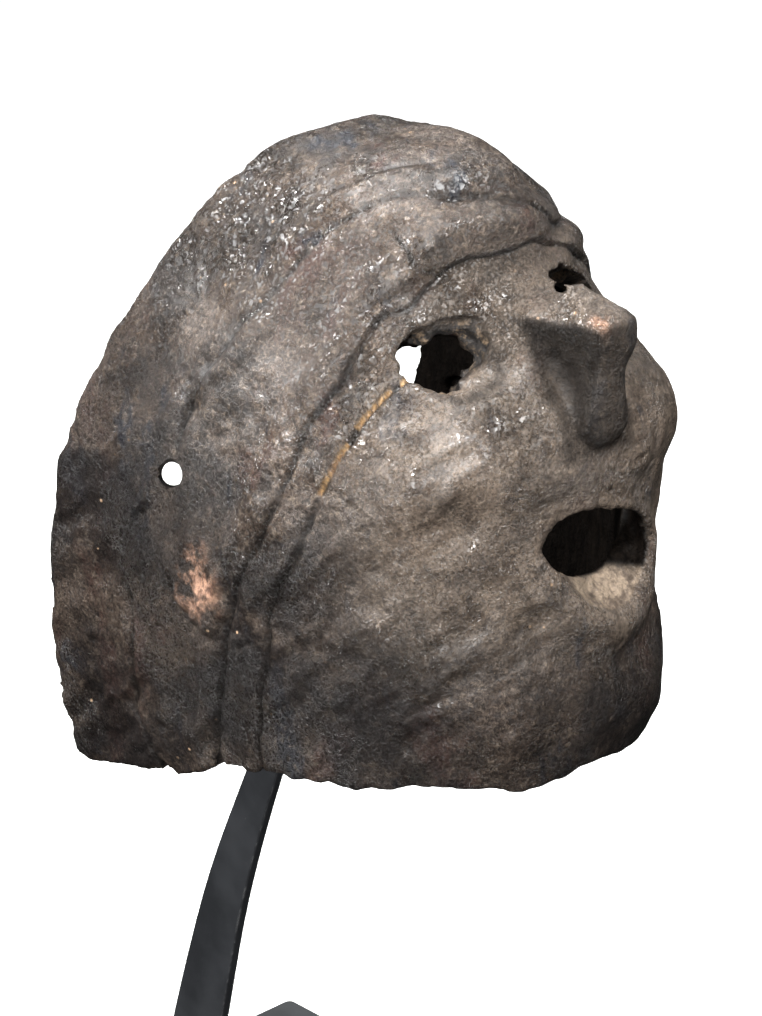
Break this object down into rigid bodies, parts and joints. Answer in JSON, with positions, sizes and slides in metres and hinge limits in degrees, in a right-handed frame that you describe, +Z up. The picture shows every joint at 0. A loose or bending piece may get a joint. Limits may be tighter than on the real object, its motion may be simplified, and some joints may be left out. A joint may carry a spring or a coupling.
{
  "type": "noh mask",
  "caption": "Deep helmet-like carved wooden face mask with a wedge nose, ragged eye holes and a round open mouth, on a curved flat-bar display stand.",
  "frame": {"origin": "centre of the stand's underside, on the surface it stands on", "axes": "+Z up, the mask looks along -Y, the mask's own left is +X"},
  "size_m": [0.176, 0.268, 0.4686],
  "materials": {
    "mask_wood": "encrusted, dark, partly glossy",
    "stem_steel": "satin black",
    "flange_steel": "satin black",
    "base_steel": "satin black",
    "crown_bar_steel": "satin black",
    "sleeve_rubber": "matte",
    "underlay_rubber": "matte",
    "screw_steel": "blackened"
  },
  "bodies": {
    "stand": {"base_plate": "base_steel", "base_underlay": "underlay_rubber", "stem_plate": "stem_steel", "foot_flange": "flange_steel", "flange_screw_right": "screw_steel", "flange_screw_left": "screw_steel", "crown_bar": "crown_bar_steel", "sleeve_right": "sleeve_rubber", "sleeve_left": "sleeve_rubber"},
    "mask": {"mask_shell": "mask_wood"}
  },
  "joints": [
    {"name": "mask_lift", "type": "slide", "parent": "stand", "child": "mask", "axis": [0, 0, 1], "range_m": [0, 0.26]}
  ]
}
